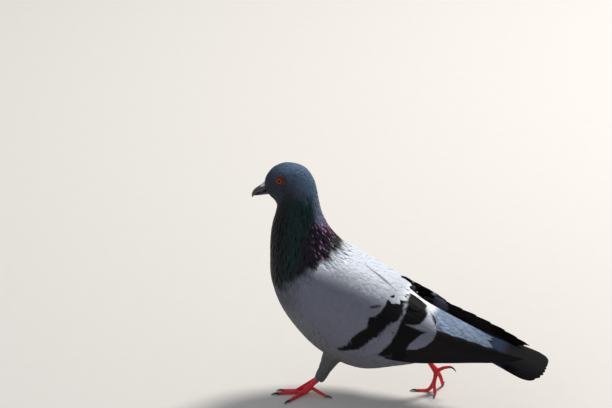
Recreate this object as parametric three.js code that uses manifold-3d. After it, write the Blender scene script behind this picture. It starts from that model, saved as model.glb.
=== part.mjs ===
// A rock pigeon in mid stride, life size: millimetres, +Z up, bill towards -X, its left side towards -Y.
// The body is modelled whole, as one loft, and parted into head, neck and trunk with thin cuts.
import * as THREE from "three";
import { mergeVertices } from "three/addons/utils/BufferGeometryUtils.js";
import Module from "manifold-3d";

// ---------------------------------------------------------------- driving dimensions
const GAP = 0.3; // clearance between pieces that touch
const FINENESS = 0.07; // detail finer than this is left out of the facets
const BODY_SIDES = 32;
const LEFT = -1;
const RIGHT = 1;
// Where the body stands from the left foot's pad, which is planted at x 0: it leans over that foot.
const SWAY = [1.3, -5, 2.4];

// Sections of the body from the root of the bill to the under-tail coverts. Each row holds the x and z
// of the back line, the x and z of the front line, the half width, and the lift of the widest place.
const BODY = [
  [-40.0, 207.5, -38.6, 199.8, 4.2, 0.0],
  [-37.6, 214.4, -36.0, 196.0, 7.5, 0.0],
  [-31.0, 222.4, -33.4, 193.0, 10.8, 0.08],
  [-19.0, 227.2, -30.2, 190.0, 12.8, 0.1],
  [-3.0, 224.4, -28.0, 185.2, 13.7, 0.06],
  [6.6, 211.5, -29.2, 179.0, 14.3, 0.0],
  [10.0, 194.5, -31.4, 170.0, 16.2, 0.0],
  [13.6, 178.5, -33.6, 157.0, 20.2, 0.0],
  [22.5, 161.5, -34.0, 137.5, 26.5, -0.05],
  [39.0, 146.0, -32.0, 111.0, 33.5, -0.1],
  [62.0, 132.0, -19.0, 80.0, 37.5, -0.1],
  [88.0, 116.0, 11.0, 46.5, 38.0, -0.05],
  [112.0, 98.0, 49.0, 30.0, 34.0, 0.0],
  [136.0, 86.5, 87.0, 35.5, 27.0, 0.1],
  [158.0, 76.5, 126.0, 46.5, 19.5, 0.2],
  [179.0, 67.5, 160.0, 54.5, 11.5, 0.3],
];
const HEAD_END = 5.3; // where the head is parted from the neck, counted in sections
const NECK_END = 8.6; // where the neck is parted from the trunk

// The folded left wing from the wrist to the tip of the primaries. Each row holds the upper edge
// and the lower edge as x, y, z, then how far the wing bulges outward and how deep it is.
const WING = [
  [9, -27.5, 138, 4, -31, 126, 0.6, 3],
  [21, -26.5, 142.5, 5, -38, 104, 3.5, 7],
  [44, -21.5, 138.5, 21, -40, 82, 8.5, 12],
  [70, -14, 127, 45, -38, 62.8, 13.5, 14],
  [97, -8.5, 111.5, 78, -34.5, 50.6, 16.5, 12],
  [115, -14, 102, 108, -31, 47.6, 13, 8],
  [132, -20, 90, 136, -28, 50.6, 8, 5],
  [158, -19, 80, 164, -24.5, 53.8, 4.5, 3.4],
  [186, -16, 71, 190, -20, 56, 2.4, 2.6],
  [209, -14, 64, 210, -15, 60, 0.8, 1.8],
];
const WING_STEPS = 2; // steps along the wing for each row
const WING_ACROSS = 10;
const WING_EDGE = 1.0; // thickness of the wing's thin edges
// How much higher than the left wing's the right wing's upper edge lies, row by row.
const WING_RIGHT_LIFT = [[0], [0], [0], [1.5], [5], [4.5], [4.9], [5.6], [4.7], [0.5]];

// The closed tail: twelve feathers stacked into one arched blade.
const TAIL_ROOT = [118, 84]; // x and z of its middle line
const TAIL_TIP = [229, 49.6];
const TAIL_HALF_ROOT = 19;
const TAIL_HALF_TIP = 26;
const TAIL_THICK_ROOT = 9;
const TAIL_THICK_TIP = 2;
const TAIL_ARCH = 8.5; // drop of the left outer feathers below the middle line
const TAIL_ARCH_RIGHT = 1.5; // the blade is turned a little, so its right side hangs less
const TAIL_CORNER = 17; // how far the outer feathers stop short of the middle ones
const TAIL_STEPS = 14;
const TAIL_ACROSS = 12;

const EYE_RADIUS = 5.6;
const EYE = [-22.2, 8.1, 214.2]; // x, distance from the middle plane, z
const EYE_RINGS = 6;

// ---------------------------------------------------------------- solids and booleans
const wasm = await Module();
wasm.setup();

function solid(geometry) {
  const bare = geometry.clone();
  bare.deleteAttribute("normal");
  bare.deleteAttribute("uv");
  const merged = mergeVertices(bare, 1e-4);
  return new wasm.Manifold(
    new wasm.Mesh({
      numProp: 3,
      vertProperties: merged.attributes.position.array,
      triVerts: new Uint32Array(merged.index.array),
    }),
  );
}

// The largest body of a solid, so that a boolean leaves no loose sliver behind.
function largest(made) {
  const pieces = made.decompose();
  pieces.sort((a, b) => b.volume() - a.volume());
  return pieces[0];
}

function geometryOf(made) {
  const mesh = largest(made.simplify(FINENESS)).getMesh();
  const geometry = new THREE.BufferGeometry();
  geometry.setAttribute("position", new THREE.BufferAttribute(mesh.vertProperties, 3));
  geometry.setIndex(new THREE.BufferAttribute(mesh.triVerts, 1));
  return geometry;
}

// ---------------------------------------------------------------- lofts
// Row t of a table, read along a smooth curve through its rows.
function rowAt(table, t) {
  const last = table.length - 1;
  const i = Math.min(Math.floor(t), last - 1);
  const f = t - i;
  const [a, b, c, d] = [i - 1, i, i + 1, i + 2].map((k) => table[THREE.MathUtils.clamp(k, 0, last)]);
  return b.map((_, k) => {
    const bend = 2 * a[k] - 5 * b[k] + 4 * c[k] - d[k];
    const twist = 3 * (b[k] - c[k]) + d[k] - a[k];
    return b[k] + 0.5 * f * (c[k] - a[k] + f * (bend + f * twist));
  });
}

// A closed solid through rings of points, each ring closed on itself and both ends capped.
function loft(rings) {
  const around = rings[0].length;
  const middle = (ring) => ring.reduce((sum, p) => sum.add(p), new THREE.Vector3()).divideScalar(around);
  const points = [...rings.flat(), middle(rings[0]), middle(rings[rings.length - 1])];
  const first = points.length - 2;
  const index = [];
  for (let j = 0; j < around; j++) {
    const k = (j + 1) % around;
    for (let i = 0; i + 1 < rings.length; i++) {
      const a = i * around;
      const b = a + around;
      index.push(a + j, b + j, a + k, a + k, b + j, b + k);
    }
    const end = (rings.length - 1) * around;
    index.push(first, j, k, first + 1, end + k, end + j);
  }
  const geometry = new THREE.BufferGeometry().setFromPoints(points);
  geometry.setIndex(index);
  const made = solid(geometry);
  if (made.volume() > 0) return made;
  for (let i = 0; i < index.length; i += 3) [index[i + 1], index[i + 2]] = [index[i + 2], index[i + 1]];
  geometry.setIndex(index);
  return solid(geometry);
}

function steps(from, to, count) {
  return Array.from({ length: count + 1 }, (_, i) => from + ((to - from) * i) / count);
}

const STEEP = 0.2; // a path's level part below this share of it leaves the tube's sides to +Y

// A round tube along a path of [x, y, z, radius, height ratio] rows, with rounded ends.
function tube(path, { sides = 10, perRow = 2, grow = 0 } = {}) {
  const at = steps(0, path.length - 1, (path.length - 1) * perRow);
  const rows = at.map((t) => rowAt(path, t));
  const rings = rows.map((row, i) => {
    const before = rows[Math.max(i - 1, 0)];
    const after = rows[Math.min(i + 1, rows.length - 1)];
    const along = new THREE.Vector3(after[0] - before[0], after[1] - before[1], after[2] - before[2]);
    const side = new THREE.Vector3(-along.y, along.x, 0);
    if (side.length() < STEEP * along.length()) side.set(0, 1, 0);
    side.normalize();
    const up = new THREE.Vector3().crossVectors(along, side).normalize();
    const wide = row[3] + grow;
    const high = wide * (row[4] ?? 1);
    return steps(0, 2 * Math.PI, sides)
      .slice(0, sides)
      .map((a) =>
        new THREE.Vector3(row[0], row[1], row[2])
          .addScaledVector(side, wide * Math.cos(a))
          .addScaledVector(up, high * Math.sin(a)),
      );
  });
  return loft(rings);
}

function ball([x, y, z], radius) {
  return solid(new THREE.SphereGeometry(radius, 2 * EYE_RINGS, EYE_RINGS).translate(x, y, z));
}

// ---------------------------------------------------------------- head, neck and trunk
function bodyRing(s, grow) {
  const [backX, backZ, frontX, frontZ, half, lift] = rowAt(BODY, s);
  const middle = [(backX + frontX) / 2, (backZ + frontZ) / 2];
  const arm = [(backX - frontX) / 2, (backZ - frontZ) / 2];
  const long = Math.hypot(...arm);
  const stretch = (long + grow) / long;
  return steps(0, 2 * Math.PI, BODY_SIDES)
    .slice(0, BODY_SIDES)
    .map((a) => {
      const up = stretch * (Math.cos(a) + lift * Math.sin(a) ** 2);
      const out = (half + grow) * Math.sign(Math.sin(a)) * Math.abs(Math.sin(a)) ** 0.92;
      return new THREE.Vector3(middle[0] + arm[0] * up, out, middle[1] + arm[1] * up);
    });
}

function bodyLoft(from, to, stepsPerSection, grow = 0) {
  const count = Math.ceil((to - from) * stepsPerSection);
  const rings = steps(from, to, count).map((s) => bodyRing(s, grow));
  const ahead = new THREE.Vector3(-grow, 0, 0);
  if (grow > 0) rings.unshift(rings[0].map((p) => p.clone().add(ahead)));
  return loft(rings);
}

const SECTION_GAP = 0.022; // the cut between two lengths of the body, in sections
const BODY_END = BODY.length - 1;
const headWhole = bodyLoft(0, HEAD_END - SECTION_GAP, 3);
const neck = bodyLoft(HEAD_END, NECK_END - SECTION_GAP, 3);
const trunk = bodyLoft(NECK_END, BODY_END, 2);
const trunkRoom = bodyLoft(NECK_END - 0.4, BODY_END, 2, GAP);

// ---------------------------------------------------------------- tail
function tailRing(u, grow) {
  const half = THREE.MathUtils.lerp(TAIL_HALF_ROOT, TAIL_HALF_TIP, u ** 0.8) + grow;
  const thick = THREE.MathUtils.lerp(TAIL_THICK_ROOT, TAIL_THICK_TIP, u ** 0.7) + 2 * grow;
  const x = THREE.MathUtils.lerp(TAIL_ROOT[0], TAIL_TIP[0], u);
  const z = THREE.MathUtils.lerp(TAIL_ROOT[1], TAIL_TIP[1], u);
  const point = (v, side) => {
    const drop = (v < 0 ? TAIL_ARCH : TAIL_ARCH_RIGHT) * v * v;
    const edge = 0.35 + 0.65 * Math.sqrt(1 - v ** 4);
    const short = TAIL_CORNER * u ** 3 * v ** 4;
    return new THREE.Vector3(x - short, half * v, z - drop + (side * thick * edge) / 2 + 0.25 * short);
  };
  const across = steps(-1, 1, TAIL_ACROSS);
  return [...across.map((v) => point(v, 1)), ...across.reverse().map((v) => point(v, -1))];
}

function tailLoft(grow) {
  return loft(steps(0, 1 + grow / 100, TAIL_STEPS).map((u) => tailRing(u, grow)));
}

const tail = tailLoft(0).subtract(trunkRoom);
const tailRoom = tailLoft(GAP);

// ---------------------------------------------------------------- wings
function wingRing(t, lifts) {
  const [ux, uy, uz, lx, ly, lz, bulge, deep] = rowAt(WING, t);
  const lift = lifts ? rowAt(lifts, t)[0] : 0;
  const upper = new THREE.Vector3(ux, uy, uz + lift);
  const lower = new THREE.Vector3(lx, ly, lz);
  const chord = new THREE.Vector3().subVectors(lower, upper);
  const outward = new THREE.Vector3(0, -1, 0.2).projectOnPlane(chord.clone().normalize()).normalize();
  const point = (v, inside) => {
    const round = Math.sin(Math.PI * v ** 0.9) ** 0.8;
    const thick = WING_EDGE + (deep - WING_EDGE) * round ** 0.5;
    const out = bulge * round - (inside ? thick : 0);
    return upper.clone().addScaledVector(chord, v).addScaledVector(outward, out);
  };
  const across = steps(0, 1, WING_ACROSS);
  return [...across.map((v) => point(v, false)), ...across.reverse().map((v) => point(v, true))];
}

const WING_END = WING.length - 1;
const wingLoft = (lifts) => loft(steps(0, WING_END, WING_END * WING_STEPS).map((t) => wingRing(t, lifts)));
const leftWing = wingLoft().subtract(trunkRoom).subtract(tailRoom);
const rightWing = wingLoft(WING_RIGHT_LIFT).mirror([0, 1, 0]).subtract(trunkRoom).subtract(tailRoom);

// ---------------------------------------------------------------- bill and cere
// Upper and lower half as x, y, z, half width and height ratio, from inside the face to the tip.
const UPPER_BILL = [
  [-34.0, 0, 203.6, 4.4, 0.78],
  [-39.5, 0, 201.8, 3.9, 0.85],
  [-44.5, 0, 199.0, 3.1, 0.92],
  [-48.2, 0, 196.3, 2.5, 1.0],
  [-50.5, 0, 193.8, 1.7, 1.05],
  [-51.7, 0, 191.2, 0.9, 1.1],
  [-52.0, 0, 189.4, 0.35, 1],
];
const LOWER_BILL = [
  [-34.0, 0, 197.8, 4.2, 0.6],
  [-39.5, 0, 195.9, 3.6, 0.55],
  [-44.0, 0, 194.1, 2.7, 0.5],
  [-47.6, 0, 192.8, 1.8, 0.55],
  [-50.2, 0, 192.0, 1.1, 0.55],
  [-51.0, 0, 191.5, 0.45, 0.6],
];
const CERE_SPREAD = 1.7;
const CERE = [
  [-36.0, 0, 206.6, 1.0, 1],
  [-38.8, 0, 205.2, 2.1, 0.85],
  [-41.4, 0, 203.4, 1.8, 0.8],
  [-43.6, 0, 201.6, 0.7, 1],
];

const upperBillWhole = tube(UPPER_BILL, { sides: 12 });
const lowerBillWhole = tube(LOWER_BILL, { sides: 12 });
const cereLobe = (side, grow) =>
  tube(
    CERE.map(([x, , z, r, k]) => [x, side * CERE_SPREAD, z, r, k]),
    { sides: 10, grow },
  );
const cere = cereLobe(LEFT, 0).add(cereLobe(RIGHT, 0));
const cereRoom = cereLobe(LEFT, GAP).add(cereLobe(RIGHT, GAP));
const headRoom = bodyLoft(0, HEAD_END, 3, GAP);
const upperBill = upperBillWhole.subtract(headRoom).subtract(cereRoom);
const lowerBill = lowerBillWhole.subtract(headRoom).subtract(tube(UPPER_BILL, { sides: 12, grow: GAP }));
const cerePiece = cere.subtract(headRoom);

// ---------------------------------------------------------------- eyes
const eyePlace = (side) => [EYE[0], side * EYE[1], EYE[2]];
const eyeBall = (side, radius) => ball(eyePlace(side), radius);
const head = headWhole.subtract(eyeBall(LEFT, EYE_RADIUS + GAP)).subtract(eyeBall(RIGHT, EYE_RADIUS + GAP));

// ---------------------------------------------------------------- legs
// Each thigh, shank and toe is a path of x, y, z, radius and height ratio.
const LEGS = {
  left: {
    thigh: [
      [43.3, -23, 62.4, 12, 1.2],
      [31.5, -24, 48.6, 9.6, 1.0],
      [24.4, -24.8, 34, 6.4, 0.95],
      [19.0, -24.6, 22.6, 4.6, 1.05],
    ],
    shank: [
      [25.3, -25, 29.4, 2.7],
      [17.2, -23.6, 20.1, 2.6],
      [9.8, -21.2, 11.7, 2.7],
      [3.4, -19.2, 3.5, 3.6],
      [0.5, -19, 2.4, 2.6],
    ],
    toes: {
      2: [
        [2, -18.6, 2.0, 2.1],
        [-8, -19.4, 1.5, 1.75],
        [-17.2, -20.6, 1.15, 1.4],
      ],
      3: [
        [2, -19.4, 2.1, 2.2],
        [-9, -23, 1.6, 1.85],
        [-20.5, -27.6, 1.15, 1.4],
      ],
      4: [
        [2.5, -20, 2.0, 2.1],
        [-2.5, -29.5, 1.5, 1.75],
        [-7.5, -38.6, 1.1, 1.35],
      ],
      1: [
        [6.5, -18.6, 7.6, 1.9],
        [16, -20.4, 4.2, 1.6],
        [24, -21.6, 0.95, 1.2],
      ],
    },
  },
  right: {
    thigh: [
      [83.3, 10, 64.4, 12, 1.2],
      [95.3, 11, 52.4, 10, 1.15],
      [104.3, 11.4, 43.4, 6.4, 1.1],
      [109, 12, 38.7, 4.2, 1.1],
    ],
    shank: [
      [105.2, 11.6, 43.3, 2.3],
      [111.9, 13, 35.6, 2.2],
      [117.3, 14.8, 27.6, 2.3],
      [121.2, 16, 21.5, 3.1],
      [121.6, 16, 19.6, 2.4],
    ],
    toes: {
      2: [
        [121.5, 14.6, 19.6, 2.0],
        [120.6, 11.4, 10, 1.8],
        [122.2, 8.6, 2.6, 1.5],
        [122.4, 6.2, 0.95, 1.2],
      ],
      3: [
        [121, 16, 19.2, 2.2],
        [119.4, 14.6, 9.5, 1.9],
        [114.5, 12.9, 1.7, 1.7],
        [104.5, 10.8, 1.1, 1.35],
      ],
      4: [
        [122.5, 17.6, 19.8, 2.1],
        [124.8, 21.4, 12, 1.8],
        [125.8, 25.6, 3.2, 1.5],
        [125.8, 28.0, 1.0, 1.25],
      ],
      1: [
        [123.4, 16, 22.4, 1.9],
        [129, 15, 26.2, 1.6],
        [134.5, 14, 28.2, 1.25],
      ],
    },
  },
};
const CLAW_LENGTH = 7.2; // on a toe that ends with a radius of CLAW_TOE
const CLAW_TOE = 1.4;
const CLAW_DROP = 0.54; // how far a lifted toe's claw hooks down, as a share of its length
const CLAW_REST = 0.35; // the height of the claw's tip on the floor
const CLAW_SIDES = 6;
const LEG_SIDES = 10;
const TOE_SIDES = 8;
const THIGH_SIDES = 14;
const LIFTED = 3; // a toe that ends higher than this is off the floor
// Along a claw, as shares: how far out, how far down and how thick beside the toe's end.
const CLAW = [
  [-0.12, 0, 0.8],
  [0.35, 0.12, 0.78],
  [0.75, 0.55, 0.48],
  [1, 1, 0.2],
];

// The claw that carries on from a toe's end: it leaves along the toe, arches and hooks down.
function clawPath(toe) {
  const [x, y, z, r] = toe[toe.length - 1];
  const before = toe[toe.length - 2];
  const along = new THREE.Vector3(x - before[0], y - before[1], 0).normalize();
  const length = (CLAW_LENGTH * r) / CLAW_TOE;
  const drop = z < LIFTED ? z - CLAW_REST : CLAW_DROP * length;
  return CLAW.map(([out, down, thick]) => [
    x + along.x * length * out,
    y + along.y * length * out,
    z + 0.5 * r * Math.sin(Math.PI * out) - drop * down,
    r * thick,
  ]);
}

const GROUND = 600;
const GROUND_DEPTH = 20;
const ground = solid(new THREE.BoxGeometry(GROUND, GROUND, GROUND_DEPTH).translate(0, 0, -GROUND_DEPTH / 2));
const bodyRoom = trunkRoom.translate(SWAY);

function legPieces(side, leg) {
  const shank = tube(leg.shank, { sides: LEG_SIDES });
  const shankRoom = tube(leg.shank, { sides: LEG_SIDES, grow: GAP });
  const thigh = tube(leg.thigh, { sides: THIGH_SIDES, perRow: 3 });
  const pieces = [
    ["thigh_" + side, thigh.subtract(bodyRoom).subtract(shankRoom), "feathers"],
    ["shank_" + side, shank.subtract(ground), "leg"],
  ];
  const rooms = [shankRoom];
  for (const [number, path] of Object.entries(leg.toes)) {
    let toe = tube(path, { sides: TOE_SIDES }).subtract(ground);
    for (const room of rooms) toe = toe.subtract(room);
    const toeRoom = tube(path, { sides: TOE_SIDES, grow: GAP });
    rooms.push(toeRoom);
    const claw = tube(clawPath(path), { sides: CLAW_SIDES }).subtract(ground).subtract(toeRoom);
    pieces.push([`toe_${number}_${side}`, toe, "leg"]);
    pieces.push([`claw_${number}_${side}`, claw, "claw"]);
  }
  return pieces;
}

// ---------------------------------------------------------------- materials and nodes
const finish = {
  head: { color: 0x5b6470, roughness: 0.75 },
  neck: { color: 0x23332f, roughness: 0.5 },
  feathers: { color: 0x9aa0aa, roughness: 0.8 },
  wing: { color: 0xb4b9c2, roughness: 0.75 },
  tail: { color: 0x3c4048, roughness: 0.75 },
  bill: { color: 0x17161a, roughness: 0.4 },
  cere: { color: 0xc9c6cc, roughness: 0.7 },
  eye: { color: 0xc2401a, roughness: 0.1 },
  leg: { color: 0xc01f33, roughness: 0.55 },
  claw: { color: 0x1a1718, roughness: 0.4 },
};

const pigeon = new THREE.Group();

function place(name, made, look, at = SWAY) {
  const material = new THREE.MeshStandardMaterial({ metalness: 0, ...finish[look] });
  const mesh = new THREE.Mesh(geometryOf(made), material);
  mesh.name = name;
  mesh.position.set(...at);
  pigeon.add(mesh);
}

place("head", head, "head");
place("neck", neck, "neck");
place("trunk", trunk, "feathers");
place("tail", tail, "tail");
place("wing_left", leftWing, "wing");
place("wing_right", rightWing, "wing");
place("bill_upper", upperBill, "bill");
place("bill_lower", lowerBill, "bill");
place("cere", cerePiece, "cere");
place("eye_left", eyeBall(LEFT, EYE_RADIUS), "eye");
place("eye_right", eyeBall(RIGHT, EYE_RADIUS), "eye");
for (const [side, leg] of Object.entries(LEGS)) {
  for (const [name, made, look] of legPieces(side, leg)) place(name, made, look, [0, 0, 0]);
}

// The origin is the middle of the footprint of the whole bird, on the floor.
const box = new THREE.Box3().setFromObject(pigeon);
pigeon.position.set(-(box.min.x + box.max.x) / 2, -(box.min.y + box.max.y) / 2, -box.min.z);

export default pigeon;
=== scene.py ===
"""A rock pigeon in mid stride: one skin, its coat of feathers, and its eyes, bill, cere and claws."""
import math

import bpy
import numpy as np
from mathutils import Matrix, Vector
from mathutils.bvhtree import BVHTree
from mathutils.kdtree import KDTree


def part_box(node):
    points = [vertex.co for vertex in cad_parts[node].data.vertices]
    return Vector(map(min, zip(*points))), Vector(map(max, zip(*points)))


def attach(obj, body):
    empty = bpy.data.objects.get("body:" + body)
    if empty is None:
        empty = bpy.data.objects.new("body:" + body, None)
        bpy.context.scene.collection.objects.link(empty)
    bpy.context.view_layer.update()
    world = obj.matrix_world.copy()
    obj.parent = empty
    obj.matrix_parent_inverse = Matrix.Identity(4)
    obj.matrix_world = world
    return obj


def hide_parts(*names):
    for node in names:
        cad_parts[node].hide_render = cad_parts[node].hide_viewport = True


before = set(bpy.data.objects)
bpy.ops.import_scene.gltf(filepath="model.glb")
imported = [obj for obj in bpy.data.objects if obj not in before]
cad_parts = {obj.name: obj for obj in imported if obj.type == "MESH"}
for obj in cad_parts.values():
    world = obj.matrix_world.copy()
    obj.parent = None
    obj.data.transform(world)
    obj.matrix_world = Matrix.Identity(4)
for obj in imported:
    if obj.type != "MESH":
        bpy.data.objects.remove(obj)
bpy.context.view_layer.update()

MM = 0.001
LEFT, RIGHT = -1, 1
random = np.random.default_rng(7)

# Shapes below are in millimetres in the bird's own frame: x back from the bill, y to its right, z up.
# EYE is the left eye's middle there, and its CAD node says where that frame lies in the world.
EYE = (-22.2, -8.1, 214.2)
EYE_RADIUS = 5.6
_eye_low, _eye_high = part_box("eye_left")
BODY_AT = np.array((_eye_low + _eye_high) / 2) - np.array(EYE) * MM
# The left foot's frame: its pad is planted at x 0, and z 0 is the floor.
SWAY = np.array([1.3, -5.0, 2.4])
FEET_AT = BODY_AT - SWAY * MM


# ---------------------------------------------------------------- camera, light and floor
CAMERA_PLACE = (570.35, -2260.99, 1287.98)  # in the bird's frame
CAMERA_LINE = (-0.22161, 0.87690, -0.42654)
CAMERA_LENS = 165.2


def add_camera():
    camera = bpy.data.objects.new("camera", bpy.data.cameras.new("camera"))
    bpy.context.scene.collection.objects.link(camera)
    camera.location = Vector(BODY_AT + np.array(CAMERA_PLACE) * MM)
    camera.rotation_euler = Vector(CAMERA_LINE).to_track_quat("-Z", "Y").to_euler()
    camera.data.lens = CAMERA_LENS
    camera.data.clip_end = 20
    bpy.context.scene.camera = camera


def add_light(name, place, size, watts, colour):
    light = bpy.data.objects.new(name, bpy.data.lights.new(name, "AREA"))
    bpy.context.scene.collection.objects.link(light)
    light.location = place
    light.rotation_euler = (Vector((0, 0, 0.11)) - light.location).to_track_quat("-Z", "Y").to_euler()
    light.data.shape = "DISK"
    light.data.size = size
    light.data.energy = watts
    light.data.color = colour


def add_studio():
    add_light("key", (0.8, 1.3, 2.2), 0.7, 80, (1.0, 0.97, 0.93))
    add_light("fill", (-0.9, -2.2, 1.3), 2.4, 11, (0.96, 0.97, 1.0))
    add_light("front", (-2.2, 0.2, 1.1), 1.6, 4, (1.0, 1.0, 1.0))
    world = bpy.data.worlds.new("world")
    world.use_nodes = True
    world.node_tree.nodes["Background"].inputs[0].default_value = (0.9, 0.94, 1.0, 1)
    world.node_tree.nodes["Background"].inputs[1].default_value = 0.38
    bpy.context.scene.world = world
    bpy.context.scene.view_settings.view_transform = "Standard"
    bpy.ops.mesh.primitive_plane_add(size=12)
    floor = bpy.context.object
    floor.name = "floor"
    floor.data.materials.append(mottled("floor", (0.62, 0.6, 0.57), (0.6, 0.58, 0.55), 60, 0.9)[0])


# ---------------------------------------------------------------- small maths
def unit(v):
    return v / (np.linalg.norm(v, axis=-1, keepdims=True) + 1e-12)


def ramp(x, low, high):
    """0 at low, 1 at high, smooth between."""
    t = np.clip((np.asarray(x, float) - low) / (high - low), 0, 1)
    return t * t * (3 - 2 * t)


def bell(x, middle, spread):
    return np.exp(-(((np.asarray(x, float) - middle) / spread) ** 2))


def lerp(a, b, t):
    return a + (b - a) * t


def rows_at(table, t):
    """Rows of a table read along a smooth curve through them, t counted in rows."""
    table = np.asarray(table, float)
    last = len(table) - 1
    i = np.clip(np.floor(t).astype(int), 0, last - 1)
    f = (t - i)[..., None]
    a, b, c, d = (table[np.clip(i + k, 0, last)] for k in (-1, 0, 1, 2))
    return b + 0.5 * f * (c - a + f * (2 * a - 5 * b + 4 * c - d + f * (3 * (b - c) + d - a)))


def inside(outline, x, z):
    """How far (x, z) lies inside a closed outline of (x, z) points, negative outside."""
    points = np.asarray(outline, float)
    ends = np.roll(points, -1, 0)
    p = np.stack([x, z], -1)[..., None, :]
    edge = ends - points
    t = np.clip(((p - points) * edge).sum(-1) / (edge * edge).sum(-1), 0, 1)
    far = np.linalg.norm(p - points - edge * t[..., None], axis=-1).min(-1)
    px, pz = p[..., 0], p[..., 1]
    spans = (points[:, 1] > pz) != (ends[:, 1] > pz)
    crossing = points[:, 0] + edge[:, 0] * (pz - points[:, 1]) / np.where(edge[:, 1] == 0, 1, edge[:, 1])
    odd = (spans & (px < crossing)).sum(-1) % 2 == 1
    return np.where(odd, far, -far)


# ---------------------------------------------------------------- surfaces that feathers lie on
class Surface:
    """A grid of points over one part of the bird, read at any (u, v) from 0 to 1."""

    def __init__(self, points, outward, wraps=False):
        self.points, self.wraps = points, wraps
        self.along = np.gradient(points, axis=0) * (points.shape[0] - 1)
        if wraps:
            self.across = (np.roll(points, -1, 1) - np.roll(points, 1, 1)) / 2 * points.shape[1]
        else:
            self.across = np.gradient(points, axis=1) * (points.shape[1] - 1)
        normal = unit(np.cross(self.along, self.across))
        self.normal = normal * np.sign((normal * outward).sum(-1, keepdims=True))

    def read(self, grid, uv):
        rows, columns = grid.shape[:2]
        u = np.clip(uv[..., 0], 0, 1) * (rows - 1)
        i = np.minimum(u.astype(int), rows - 2)
        fu = (u - i)[..., None]
        if self.wraps:
            v = (uv[..., 1] % 1.0) * columns
            j = np.minimum(v.astype(int), columns - 1)
            k = (j + 1) % columns
        else:
            v = np.clip(uv[..., 1], 0, 1) * (columns - 1)
            j = np.minimum(v.astype(int), columns - 2)
            k = j + 1
        fv = (v - j)[..., None]
        low = grid[i, j] * (1 - fv) + grid[i, k] * fv
        high = grid[i + 1, j] * (1 - fv) + grid[i + 1, k] * fv
        return low * (1 - fu) + high * fu

    def place(self, uv):
        """Points of the surface, carried on straight past its edges."""
        beyond = uv - np.clip(uv, 0, 1)
        point = self.read(self.points, uv) + self.read(self.along, uv) * beyond[..., :1]
        if not self.wraps:
            point = point + self.read(self.across, uv) * beyond[..., 1:]
        return point

    def steps(self, uv, direction):
        """The change in (u, v) for one millimetre along a direction."""
        a, b = self.read(self.along, uv), self.read(self.across, uv)
        aa, bb, ab = (a * a).sum(-1), (b * b).sum(-1), (a * b).sum(-1)
        ad, bd = (a * direction).sum(-1), (b * direction).sum(-1)
        area = np.maximum(aa * bb - ab * ab, 1e-4 * aa * bb + 1e-9)
        return np.stack([(ad * bb - bd * ab) / area, (bd * aa - ad * ab) / area], -1)

    def mirrored(self):
        flip = np.array([1, -1, 1])
        return Surface(self.points * flip, self.normal * flip, self.wraps)

    def nearest(self, points, axes=(0, 1, 2)):
        """The (u, v) of the grid point nearest to each point, seen along the axes left out."""
        rows, columns = self.points.shape[:2]
        keep = np.zeros(3)
        keep[list(axes)] = 1
        tree = KDTree(rows * columns)
        for index, point in enumerate((self.points * keep).reshape(-1, 3)):
            tree.insert(point, index)
        tree.balance()
        found = np.array([tree.find(p)[1] for p in points * keep])
        return np.stack([(found // columns) / (rows - 1),
                         (found % columns) / (columns if self.wraps else columns - 1)], -1)


# Sections through head, neck and trunk: the x and z of the back line and of the front line, the half
# width, and the lift of the widest place.
BODY_TABLE = [
    (-40.0, 207.5, -38.6, 199.8, 4.2, 0.0),
    (-37.6, 214.4, -36.0, 196.0, 7.5, 0.0),
    (-31.0, 222.4, -33.4, 193.0, 10.8, 0.08),
    (-19.0, 227.2, -30.2, 190.0, 12.8, 0.1),
    (-3.0, 224.4, -28.0, 185.2, 13.7, 0.06),
    (6.6, 211.5, -29.2, 179.0, 14.3, 0.0),
    (10.0, 194.5, -31.4, 170.0, 16.2, 0.0),
    (13.6, 178.5, -33.6, 157.0, 20.2, 0.0),
    (22.5, 161.5, -34.0, 137.5, 26.5, -0.05),
    (39.0, 146.0, -32.0, 111.0, 33.5, -0.1),
    (62.0, 132.0, -19.0, 80.0, 37.5, -0.1),
    (88.0, 116.0, 11.0, 46.5, 38.0, -0.05),
    (112.0, 98.0, 49.0, 30.0, 34.0, 0.0),
    (136.0, 86.5, 87.0, 35.5, 27.0, 0.1),
    (158.0, 76.5, 126.0, 46.5, 19.5, 0.2),
    (179.0, 67.5, 160.0, 54.5, 11.5, 0.3),
]
BODY_LAST = len(BODY_TABLE) - 1
HEAD_END = 5.3
NECK_END = 8.6
WRIST = 9.4  # the section from which wings cover the body's sides

# The folded left wing: its upper edge and lower edge as x, y, z, its bulge outward and its depth.
WING_TABLE = [
    (9, -27.5, 138, 4, -31, 126, 0.6, 3),
    (21, -26.5, 142.5, 5, -38, 104, 3.5, 7),
    (44, -21.5, 138.5, 21, -40, 82, 8.5, 12),
    (70, -14, 127, 45, -38, 62.8, 13.5, 14),
    (97, -8.5, 111.5, 78, -34.5, 50.6, 16.5, 12),
    (115, -14, 102, 108, -31, 47.6, 13, 8),
    (132, -20, 90, 136, -28, 50.6, 8, 5),
    (158, -19, 80, 164, -24.5, 53.8, 4.5, 3.4),
    (186, -16, 71, 190, -20, 56, 2.4, 2.6),
    (209, -14, 64, 210, -15, 60, 0.8, 1.8),
]
WING_LAST = len(WING_TABLE) - 1
# How much higher than the left wing's the right wing's upper edge lies, row by row.
RIGHT_LIFT = [0, 0, 0, 1.5, 5, 4.5, 4.9, 5.6, 4.7, 0.5]


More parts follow.
